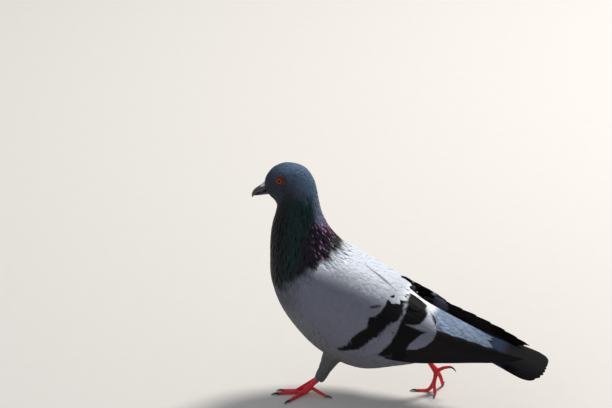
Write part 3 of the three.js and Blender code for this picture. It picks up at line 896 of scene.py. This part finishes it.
def build_skin(body, wings, material):
    parts, colours = [], []

    def part(grid, paint):
        points, triangles = closed_tube(grid)
        parts.append((points, triangles))
        paint = np.broadcast_to(paint, grid.shape).reshape(-1, 3)
        colours.append(np.concatenate([paint, paint[:1], paint[-1:]]))

    at = np.linspace(0.02, BODY_LAST - 0.25, 160)
    depth = coat_depth(at[:, None] / BODY_LAST)
    grid = body_grid(at, 96, depth)[0]
    uv = np.stack(np.broadcast_arrays(at[:, None] / BODY_LAST, np.arange(96)[None] / 96), -1)
    part(grid, body_paint(body.place(uv), uv))
    across = np.linspace(0.14, 0.9, 15)
    at = np.linspace(0.5, 4.3, 60)
    uv = np.stack(np.broadcast_arrays(at[:, None] / WING_LAST, across[None]), -1)
    for side in (LEFT, RIGHT):
        face, out = wing_grid(at, across, 0.0, side)
        inner = wing_grid(at, across, 0.75, side)[0]
        face = face - out * 2.5
        inner = np.where(((inner - face) * out).sum(-1, keepdims=True) > -1.4, face - 1.4 * out, inner)
        paint = wing_paint(face, uv)
        ring = np.concatenate([face, inner[:, ::-1]], 1)
        part(ring * [1, -side, 1], np.concatenate([paint, paint[:, ::-1]], 1))
    along, v = np.linspace(0, 0.42, 24), np.linspace(-0.8, 0.8, 15)
    uv = np.stack(np.broadcast_arrays(along[:, None], (v[None] + 1) / 2), -1)
    top = tail_grid(1, along, v) - [0, 0, 1.2]
    under = tail_grid(-1, along, v) + [0, 0, 1.0]
    paint = tail_paint(top, uv)
    part(np.concatenate([top, under[:, ::-1]], 1), np.concatenate([paint, paint[:, ::-1]], 1))
    for leg in LEGS.values():
        thigh = [(*row[:3], row[3] - 1.3, *row[4:]) for row in leg["thigh"]]
        grid = tube_grid(from_foot(thigh), sides=40)[0]
        share = np.broadcast_to(np.linspace(0, 1, len(grid))[:, None], grid.shape[:2])
        part(grid, thigh_paint(share))
        part(above_floor(tube_grid(from_foot(leg["shank"]))[0]), RED)
        for toe in leg["toes"]:
            part(above_floor(tube_grid(from_foot(toe))[0]), RED)

    points, triangles = joined(parts)
    obj = make_object("skin", points, triangles, material, BODY_AT)
    remesh = obj.modifiers.new("join", "REMESH")
    remesh.mode = "VOXEL"
    remesh.voxel_size = 0.85 * MM
    smooth = obj.modifiers.new("soften", "SMOOTH")
    smooth.factor = 0.5
    smooth.iterations = 3
    thin = obj.modifiers.new("thin", "DECIMATE")
    thin.ratio = 0.5
    graph = bpy.context.evaluated_depsgraph_get()
    made = bpy.data.meshes.new_from_object(obj.evaluated_get(graph))
    obj.modifiers.clear()
    obj.data = made
    made.name = "skin"
    count = len(made.vertices)
    co = np.empty(count * 3, dtype=np.float32)
    made.vertices.foreach_get("co", co)
    co = (co.reshape(-1, 3) - BODY_AT) / MM
    co[:, 2] = np.maximum(co[:, 2], -BODY_AT[2] / MM)
    made.vertices.foreach_set("co", (co * MM + BODY_AT).astype(np.float32).ravel())
    made.polygons.foreach_set("use_smooth", np.ones(len(made.polygons), bool))
    sources, paint = np.concatenate([p for p, _ in parts]), np.concatenate(colours)
    tree = KDTree(len(sources))
    for index, point in enumerate(sources):
        tree.insert(point, index)
    tree.balance()
    nearest = [tree.find(point)[1] for point in co]
    paint_points(obj, paint[nearest])
    print("skin", len(made.polygons))
    return obj


# ---------------------------------------------------------------- the coat
def painted_neck_glints(paint, points, share, x):
    """Painted glints of the neck's iridescence: the feathers' tips are painted as if catching the light, pink on the
    lower nape, green above and in front.
    """
    count = len(points)
    px, pz = points[..., 0], points[..., 2]
    tip = ramp(share, 0.55, 0.95) * ramp(np.abs(x), 0.9, 0.2)
    nape = ramp(px + 0.25 * (pz - 150), 8, 22) * ramp(pz, 180, 172) * ramp(pz - 0.66 * px, 126, 132)
    patch = bell(pz, 153, 6) * bell(px, 30, 8)
    chance = random.random((count, 1, 1))
    paint = mix(paint, NECK_PINK_GLINT, 0.95 * tip * nape * (1 - patch) * ramp(chance, 0.35, 0.6))
    paint = mix(paint, NECK_GREEN_GLINT, 0.8 * tip * patch * ramp(chance, 0.4, 0.7))
    side = ramp(pz, 208, 196) * ramp(px, -22, -2) * (1 - nape) * ramp(pz, 150, 168)
    return mix(paint, NECK_SHEEN, 0.45 * tip * side * ramp(chance, 0.4, 0.9))


def turned(uv):
    """Degrees round from the back line."""
    return np.minimum(uv[..., 1] % 1.0, 1 - uv[..., 1] % 1.0) * 360


def bake_place(places):
    return places[:, ::-1] % 1.0


def build_body_coats(body, cape, covered, looks):
    eye = np.array([EYE, (EYE[0], -EYE[1], EYE[2])])

    def station(uv):
        return uv[..., 0] * BODY_LAST

    def band(low, high, extra=None):
        def keep(uv):
            s = station(uv)
            ok = (s >= low) & (s < high)
            if extra is not None:
                ok = ok & extra(uv, s)
            return ok.astype(float)
        return keep

    def off_the_eyes(uv, s):
        point = body.place(uv)
        far = np.linalg.norm(point[..., None, :] - eye, axis=-1).min(-1)
        return far > EYE_RADIUS + 0.75

    head = Coat("coat_head", looks["head"], "head_feathers")
    places = scatter(body, lambda uv: lerp(0.95, 1.75, ramp(station(uv), 0.3, 4.5)), band(0.12, HEAD_END, off_the_eyes))
    print("head", len(places))
    plumage(head, body, places, lambda p: lerp(2.6, 6.4, ramp(station(p), 0.2, 4.5)),
            lambda p: lerp(1.5, 2.9, ramp(station(p), 0.2, 4.5)), lambda p: coat_depth(p), body_paint, bake_place,
            tip=2.2, top=0.05, fringe=0.05, vary=0.04, camber=0.05, jag=0.08)
    neck = Coat("coat_neck", looks["neck"], "neck_feathers")
    places = scatter(cape, lambda uv: lerp(1.8, 2.9, ramp(station(uv), HEAD_END, NECK_END)), band(HEAD_END, 9.0))
    print("neck", len(places))
    plumage(neck, cape, places, lambda p: lerp(6.6, 11.5, ramp(station(p), HEAD_END, NECK_END)),
            lambda p: lerp(2.9, 4.6, ramp(station(p), HEAD_END, NECK_END)), lambda p: coat_depth(p),
            body_paint, bake_place, tip=1.5, top=0.3, vary=0.12, camber=0.05, jag=0.1,
            rise=0.4, tint=painted_neck_glints)

    breast = Coat("coat_breast", looks["body"], "body_feathers")
    places = scatter(cape, lambda uv: 2.3 + 0 * uv[..., 0],
                     band(9.0, 10.4, lambda uv, s: (turned(uv) > 70) & ((s < WRIST) | (turned(uv) > 92 + 6 * (s - 9.4)))))
    print("breast", len(places))
    plumage(breast, cape, places, lambda p: 11 + 0 * p[:, 0], lambda p: 4.8 + 0 * p[:, 0],
            lambda p: coat_depth(p), body_paint, bake_place, tip=2.2, top=0.25, fringe=0.03, vary=0.02,
            camber=0.025, jag=0.12)

    belly = Coat("coat_belly", looks["body"], "body_feathers")
    places = scatter(body, lambda uv: lerp(2.4, 3.6, ramp(station(uv), 11, 14)),
                     band(10.4, 14.9, lambda uv, s: turned(uv) > 96))
    print("belly", len(places))
    plumage(belly, body, places, lambda p: lerp(13.5, 19, ramp(station(p), 11, 14)),
            lambda p: lerp(5.2, 8, ramp(station(p), 11, 14)), lambda p: coat_depth(p), body_paint, bake_place,
            tip=2.0, top=0.25, fringe=0.03, vary=0.02, camber=0.025, jag=0.2)

    def long_back(places):
        return lerp(11, 20, ramp(station(places), 9, 12))

    def under_the_edge(uv, s):
        along = unit(cape.read(cape.along, uv))
        tip = cape.place(uv + cape.steps(uv, along) * (long_back(uv) + 1)[..., None])
        end = CAPE_END - 5 * ramp(tip[..., 1], 2, 8)
        return (tip[..., 2] > np.interp(tip[..., 0], *zip(*CAPE_EDGE))) & (tip[..., 0] < end)

    back = Coat("coat_back", looks["body"], "body_feathers")
    places = scatter(cape, lambda uv: lerp(2.5, 3.5, ramp(station(uv), 9, 12)), band(9.0, 12.4, under_the_edge))
    print("back", len(places))
    plumage(back, cape, places, long_back, lambda p: lerp(5.5, 9.5, ramp(station(p), 9, 12)),
            lambda p: coat_depth(p) * 0.8, cape_paint, bake_place, tip=2.6, top=0.45, fringe=0.03, vary=0.02,
            columns=7, jag=0.12, camber=0.025)

    rump = Coat("coat_rump", looks["body"], "tail_feathers")
    places = scatter(body, lambda uv: lerp(2.6, 4.0, ramp(station(uv), 12, 14)),
                     band(10.4, 14.8, lambda uv, s: (turned(uv) <= 100)
                          & (body.place(uv)[..., 0] + lerp(12, 22, ramp(s, 12, 14.4)) < RUMP_END)))
    print("rump", len(places))
    plumage(rump, body, places, lambda p: lerp(12, 22, ramp(station(p), 12, 14.4)),
            lambda p: lerp(5.6, 9.0, ramp(station(p), 12, 14.4)), lambda p: coat_depth(p) * 0.8, body_paint,
            bake_place, tip=2.4, top=0.3, fringe=0.1, vary=0.07, camber=0.035, jag=0.2)
    return [coat.finish() for coat in (head, neck, breast, belly, back, rump)]


def rows_to(shaft_tips, surface, length, rows, bend=0.0):
    """Shafts that end at given places, carried back against the flow."""
    shaft = walk(surface, shaft_tips, lambda uv: -surface.read(surface.along, uv), length, rows, bend)
    return shaft[:, ::-1]


def along_curve(points, count):
    points = np.asarray(points, float)
    return rows_at(points, np.linspace(0, len(points) - 1, count))


MEDIAN_TIPS = [(88, 112), (80, 104), (72, 96), (63, 85), (54, 76), (45, 69), (38, 64)]
GREATER_TIPS = [(99.5, 107), (99, 98), (95.5, 89), (90.5, 78), (84, 69.5), (76, 63), (66, 58.5), (56, 57)]
SECONDARY_TIPS = [(113, 101.5), (121, 96.5), (127.5, 91), (129.6, 85), (127.5, 78.5), (122, 73.5), (114.5, 70.2),
                  (106, 68), (97, 66.3), (88, 64)]
# Primaries from the innermost to the outermost: u of the tip, v of the root and v of the tip.
PRIMARIES = [(5.95, 0.46, 0.16), (6.45, 0.54, 0.13), (6.95, 0.62, 0.12), (7.45, 0.70, 0.13), (7.95, 0.77, 0.17),
             (8.4, 0.83, 0.25), (8.8, 0.875, 0.38), (9.0, 0.905, 0.55), (8.65, 0.925, 0.8)]


def build_wing(side, surface, material):
    """Coverts, secondaries and primaries of one folded wing, from the shoulder to the tip."""
    name = "left" if side == LEFT else "right"

    def station(uv):
        return uv[..., 0] * WING_LAST

    def front_of_medians(uv):
        p = surface.place(uv)
        line = inside([(92, 116), (80, 104), (72, 96), (63, 85), (54, 76), (42, 66), (30, 56), (-40, 56), (-40, 180),
                       (92, 180)], p[..., 0], p[..., 2])
        return ((line > -2) & (station(uv) > 0.15) & (uv[..., 1] > 0.09)).astype(float)

    coverts = Coat("coverts_" + name, material, "wing_feathers")
    places = scatter(surface, lambda uv: lerp(2.3, 3.6, ramp(station(uv), 0.5, 3)), front_of_medians)
    print("lesser", len(places))
    plumage(coverts, surface, places, lambda p: lerp(10.5, 16, ramp(station(p), 0.5, 3)),
            lambda p: lerp(5.2, 8.6, ramp(station(p), 0.5, 3)), lambda p: 0.9 + 0 * p[:, 0], wing_paint,
            bake_place, tip=2.8, top=0.3, fringe=0.03, vary=0.015, columns=7, jag=0.12, camber=0.02)
    for tips, count, length, wide, sink, top in ((MEDIAN_TIPS, 17, 20, 9.5, 1.2, 0.25),
                                                 (GREATER_TIPS, 14, 33, 13, 1.6, -0.15)):
        curve = along_curve(tips, count)
        target = np.stack([curve[:, 0], 0 * curve[:, 0], curve[:, 1]], -1)
        shaft = rows_to(surface.nearest(target, (0, 2)), surface, length + 0 * curve[:, 0], 27)
        share = np.linspace(0, 1, 27)
        half = wide / 2 * outline(share, 4.0)[None] * np.ones((count, 1))
        step = np.linspace(0.25, 0, count)[:, None]
        height = -sink + (sink + top + step) * np.sin(share * math.pi / 2)[None] ** 0.8
        coverts.add(surface, shaft, half, height, wing_paint, bake_place(shaft[:, 0]), patch=(0.05, 0.05),
                    camber=0.025, ridge=0.1, fringe=0.03, vary=0.015, columns=13)

    flight = Coat("flight_" + name, material, "wing_feathers")
    share = np.linspace(0, 1, 45)
    count = len(SECONDARY_TIPS)
    tips = np.array(SECONDARY_TIPS, float)
    target = np.stack([tips[:, 0], 0 * tips[:, 0], tips[:, 1]], -1)
    length = np.linspace(50, 42, count)
    shaft = rows_to(surface.nearest(target, (0, 2)), surface, length, 45)
    half = (np.linspace(8.2, 6.2, count)[:, None]) * outline(share, 6.0)[None]
    low = np.linspace(0.1, -1.3, count)[:, None]
    height = -1.8 + (1.8 + low) * np.sin(share * math.pi / 2)[None] ** 0.6
    total = count + len(PRIMARIES)
    strip = (np.arange(total) + 0.5) / total
    centre = np.stack([strip, 0.5 + 0 * strip], -1)
    flight.add(surface, shaft, half, height, wing_paint, centre[:count], patch=(0.9 / total, 0.94), camber=0.04,
               ridge=0.2, fringe=0.04, vary=0.03, columns=15)
    ends = np.array(PRIMARIES)
    count = len(ends)
    share = np.linspace(0, 1, 49)
    u = lerp(4.1, ends[:, 0, None], share) / WING_LAST
    v = lerp(ends[:, 1, None], ends[:, 2, None], share ** 0.92)
    shaft = np.stack([u, v], -1)
    half = np.linspace(6.0, 3.6, count)[:, None] * lerp(1, 0.8, share)[None]
    to_the_edge = v * np.linalg.norm(surface.read(surface.across, shaft), axis=-1)
    half = np.minimum(half, to_the_edge + 0.3) * outline(share, 5.0)[None]
    low = np.linspace(-0.5, -2.3, count)[:, None]
    height = lerp(-2.2, low, np.minimum(1, share * 2.2)[None])
    flight.add(surface, shaft, half, height, wing_paint, centre[-count:], patch=(0.9 / total, 0.94), camber=0.05,
               ridge=0.3, fringe=0.16, vary=0.04, columns=9)
    made = [coverts, flight]
    if side == RIGHT:
        for coat in made:
            coat.points = [p * [1, -1, 1] for p in coat.points]
            coat.triangles = [t[:, ::-1] for t in coat.triangles]
    return [coat.finish() for coat in made]


def build_tail(material):
    """Twelve tail feathers, the middle pair on top."""
    surface = tail_surface(1)
    coat = Coat("tail_feathers", material, "tail_feathers")
    order = np.array([5.5, -5.5, 4.5, -4.5, 3.5, -3.5, 2.5, -2.5, 1.5, -1.5, 0.45, -0.45]) / 6
    count = len(order)
    share = np.linspace(0, 1, 45)
    u = lerp(0.02, 0.995 + 0 * order[:, None], share)
    v = 0.5 + order[:, None] * lerp(0.30, 0.45, share)
    half = 8.8 * outline(share, 14.0, 0.3)[None] * lerp(0.75, 1, share)[None] * np.ones((count, 1))
    half = half * lerp(1, 0.72, np.abs(order))[:, None]
    low = np.linspace(-1.5, -0.1, count)[:, None]
    height = lerp(-2.5, low, np.minimum(1, share * 2)[None])
    strip = (np.arange(count) + 0.5) / count
    coat.add(surface, np.stack([u, v], -1), half, height, tail_paint, np.stack([strip, 0.5 + 0 * strip], -1),
             patch=(0.9 / count, 0.94), camber=0.04, ridge=0.2, fringe=0.05, vary=0.05, columns=9)
    return coat.finish()


def build_thighs(material):
    coat = Coat("coat_thighs", material, "body_feathers")
    for leg in LEGS.values():
        surface = tube_surface(from_foot(leg["thigh"]), sides=40)
        places = scatter(surface, lambda uv: lerp(3.2, 2.0, uv[..., 0]), lambda uv: (uv[..., 0] < 0.9).astype(float))
        plumage(coat, surface, places, lambda p: lerp(11, 6, p[:, 0]), lambda p: lerp(5.4, 3.2, p[:, 0]),
                lambda p: 1.2 + 0 * p[:, 0], lambda point, uv: thigh_paint(uv[..., 0]),
                bake_place, tip=2.2, top=0.3, fringe=0.06, vary=0.04, lay=0.12)
    return coat.finish()


def build_scutes(material):
    """Broad plates down the front of each shank and along the top of each toe."""
    coat = Coat("leg_scutes", material, "leg_skin")
    for name, leg in LEGS.items():
        limbs = [(leg["shank"], 1.7, math.pi if name == "left" else math.pi)] + [(toe, 1.5, None) for toe in leg["toes"]]
        for path, pitch, _ in limbs:
            surface = tube_surface(from_foot(path))
            length = np.linalg.norm(np.diff([row[:3] for row in path], axis=0), axis=-1).sum()
            count = int(length / pitch)
            u = (np.arange(count) + 0.3) / count
            front = front_of(surface)
            root = np.stack([u, np.full(count, front)], -1)
            root = root[(root[:, 0] > 0.02) & (root[:, 0] < 0.95)]
            radius = surface.read(np.linalg.norm(surface.across, axis=-1, keepdims=True), root)[:, 0] / 2 / math.pi
            shaft = walk(surface, root, None, np.full(len(root), pitch * 1.25), 5)
            share = np.linspace(0, 1, 5)
            half = (radius * 1.25)[:, None] * (1 - 0.25 * share ** 3)[None]
            height = -0.12 + 0.34 * np.sin(share * math.pi * 0.62)[None] + 0 * half
            coat.add(surface, shaft, half, height, lambda point, uv: np.broadcast_to(RED, point.shape), root % 1.0,
                     camber=0.03, vary=0.05, columns=9, fringe=-0.25)
    return coat.finish()


def front_of(surface):
    """The v of the line that faces forward, or up on a toe that lies level."""
    normal = surface.normal.mean(0)
    along = unit(surface.along.mean((0, 1)))
    want = np.array([0, 0, 1.0]) if abs(along[2]) < 0.6 else np.array([-1.0, 0, 0.2])
    return np.argmax((normal * want).sum(-1)) / surface.points.shape[1]


# ---------------------------------------------------------------- eyes, bill, cere and claws
def build_eyes():
    material, tree, shader = principled("eye", 0.08, Specular_IOR_Level=0.14, Coat_Weight=0.12, Coat_Roughness=0.02)
    disc = tree.nodes.new("ShaderNodeUVMap")
    disc.uv_map = "Iris"
    away = tree.nodes.new("ShaderNodeVectorMath")
    away.operation = "LENGTH"
    tree.links.new(disc.outputs[0], away.inputs[0])
    stretch = tree.nodes.new("ShaderNodeVectorMath")
    stretch.operation = "NORMALIZE"
    tree.links.new(disc.outputs[0], stretch.inputs[0])
    fibres = noise_node(tree, 9, 3, stretch.outputs[0])
    radius = math_node(tree, "ADD", away.outputs["Value"], math_node(tree, "MULTIPLY", math_node(
        tree, "SUBTRACT", fibres, 0.5), 0.06))
    bands = tree.nodes.new("ShaderNodeValToRGB")
    stops = [(0.0, (4, 3, 4)), (0.22, (5, 3, 4)), (0.26, (118, 46, 16)), (0.38, (128, 36, 12)), (0.52, (110, 20, 8)),
             (0.64, (84, 12, 8)), (0.7, (30, 8, 8)), (0.76, (8, 7, 9))]
    while len(bands.color_ramp.elements) < len(stops):
        bands.color_ramp.elements.new(0.5)
    for element, (where, colour) in zip(bands.color_ramp.elements, stops):
        element.position = where
        element.color = (*screen(*colour), 1)
    tree.links.new(radius, bands.inputs[0])
    tree.links.new(bands.outputs[0], shader.inputs["Base Color"])
    lid_material = mottled("eyelid", screen(30, 29, 34), screen(52, 46, 52), 2200, 0.6, 0.0002)[0]
    for side, name in ((LEFT, "left"), (RIGHT, "right")):
        centre = np.array([EYE[0], side * -EYE[1] * -1 if side == RIGHT else EYE[1], EYE[2]])
        centre[1] = side * 8.1
        axis = unit(np.array([-0.14, side * 1.0, 0.06]))
        first = unit(np.cross(axis, [0, 0, 1.0]))
        second = np.cross(axis, first)
        polar = np.linspace(0.0, math.pi, 33)[:, None, None]
        turn = (np.arange(48) * 2 * math.pi / 48)[None, :, None]
        bulge = 1 + 0.03 * ramp(0.75 - polar, 0, 0.5)
        flat = first * np.cos(turn) + second * np.sin(turn)
        grid = centre + EYE_RADIUS * bulge * (axis * np.cos(polar) + flat * np.sin(polar))
        points, triangles = closed_tube(grid)
        triangles = outward_facing(points - centre, triangles)
        ball = make_object("eyeball_" + name, points, triangles, material, BODY_AT)
        local = (points - centre) / EYE_RADIUS
        reach = np.stack([local @ first, local @ second], -1)
        behind = (local @ axis) < 0
        reach[behind] = unit(reach[behind]) * 1.0
        add_uv(ball, "Iris", reach)
        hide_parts("eye_" + name)
        rings = []
        for ring_radius, out, thick, folds in ((4.15, 3.85, 0.42, 0.0), (4.85, 3.55, 0.62, 0.10)):
            a = np.linspace(0, 2 * math.pi, 97)[:-1]
            wrinkle = 1 + folds * np.sin(a * 17) + folds * 0.6 * np.sin(a * 29 + 1)
            line = (centre + axis * out + ring_radius * (first * 1.06 * np.cos(a)[:, None]
                    + second * 0.97 * np.sin(a)[:, None]))
            b = np.arange(12) * 2 * math.pi / 12
            outward = unit(line - centre - axis * out)
            ring = line[:, None] + (thick * wrinkle)[:, None, None] * (
                outward[:, None] * np.cos(b)[:, None] + axis * np.sin(b)[:, None])
            count = ring.shape[0] * ring.shape[1]
            body = grid_triangles(ring.shape[0], 12, True)
            j = np.arange(12)
            k = (j + 1) % 12
            last = (ring.shape[0] - 1) * 12
            close = np.concatenate([np.stack([last + j, j, k], -1), np.stack([last + j, k, last + k], -1)])
            points = ring.reshape(-1, 3)
            triangles = np.concatenate([body, close])
            rings.append((points, outward_facing(points - centre, triangles)))
        points = np.concatenate([p for p, _ in rings])
        triangles = np.concatenate([rings[0][1], rings[1][1] + len(rings[0][0])])
        lid = make_object("eyelid_" + name, points, triangles, lid_material, BODY_AT)


def build_bill():
    horn = mottled("bill_horn", screen(30, 28, 31), screen(52, 48, 52), 700, 0.34, 0.00015, Coat_Weight=0.25)[0]
    for name, path in (("bill_upper", UPPER_BILL), ("bill_lower", LOWER_BILL)):
        points, triangles = joined([closed_tube(tube_grid(path, sides=40)[0])])
        obj = make_object(name + "_horn", points, triangles, horn, BODY_AT)
        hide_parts(name)
    chalk = mottled("cere_skin", screen(206, 203, 212), screen(168, 164, 176), 1300, 0.7, 0.0003)[0]
    lobes = []
    for side in (LEFT, RIGHT):
        lobes.append(closed_tube(tube_grid([(x, side * CERE_SPREAD, z, r, k) for x, _, z, r, k in CERE], sides=32)[0]))
    points, triangles = joined(lobes)
    obj = make_object("cere_lobes", points, triangles, chalk, BODY_AT)
    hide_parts("cere")


def build_claws():
    horn = mottled("claw_horn", screen(28, 25, 27), screen(58, 52, 52), 900, 0.38, 0.0001)[0]
    parts, names = [], []
    for side, leg in LEGS.items():
        for number, toe in enumerate(leg["toes"], 1):
            grid = tube_grid(from_foot(claw_path(toe)), sides=16)[0]
            parts.append(closed_tube(above_floor(grid)))
            names.append(f"claw_{number}_{side}")
    points, triangles = joined_apart(parts)
    obj = make_object("claws", points, triangles, horn, BODY_AT)
    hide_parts(*names)


def joined_apart(parts):
    """Joined parts, each turned outward about its own middle."""
    points, triangles, start = [], [], 0
    for p, t in parts:
        points.append(p)
        triangles.append(outward_facing(p - p.mean(0), t) + start)
        start += len(p)
    return np.concatenate(points), np.concatenate(triangles)


def main():
    add_camera()
    add_studio()
    body = body_surface()
    wing, right_wing = wing_surface(LEFT), wing_surface(RIGHT)
    cape, covered = wrapped_surface(body, [wing, right_wing.mirrored()])
    looks = {
        "head": feather_material("head_vanes", 0.6, depth=0.2, Specular_IOR_Level=0.15),
        "neck": feather_material("neck_vanes", 0.45, depth=0.2, Specular_IOR_Level=0.14),
        "body": feather_material("body_vanes", 0.65, Specular_IOR_Level=0.12),
        "wing": feather_material("wing_vanes", 0.62, Specular_IOR_Level=0.08),
        "tail": feather_material("tail_vanes", 0.7, Specular_IOR_Level=0.06),
    }
    skin = build_skin(body, [wing], feather_material("skin_down", 0.8, depth=0.1))
    flesh = ["head", "neck", "trunk", "tail", "wing_left", "wing_right"]
    for side in ("left", "right"):
        flesh += [f"thigh_{side}", f"shank_{side}"] + [f"toe_{n}_{side}" for n in (1, 2, 3, 4)]
    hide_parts(*flesh)
    build_body_coats(body, cape, covered, looks)
    build_wing(LEFT, wing, looks["wing"])
    build_wing(RIGHT, right_wing, looks["wing"])
    build_tail(looks["tail"])
    build_thighs(looks["body"])
    build_scutes(feather_material("scute_skin", 0.42, barbs=0.0, depth=0.2, Coat_Weight=0.2))
    build_eyes()
    build_bill()
    build_claws()


main()
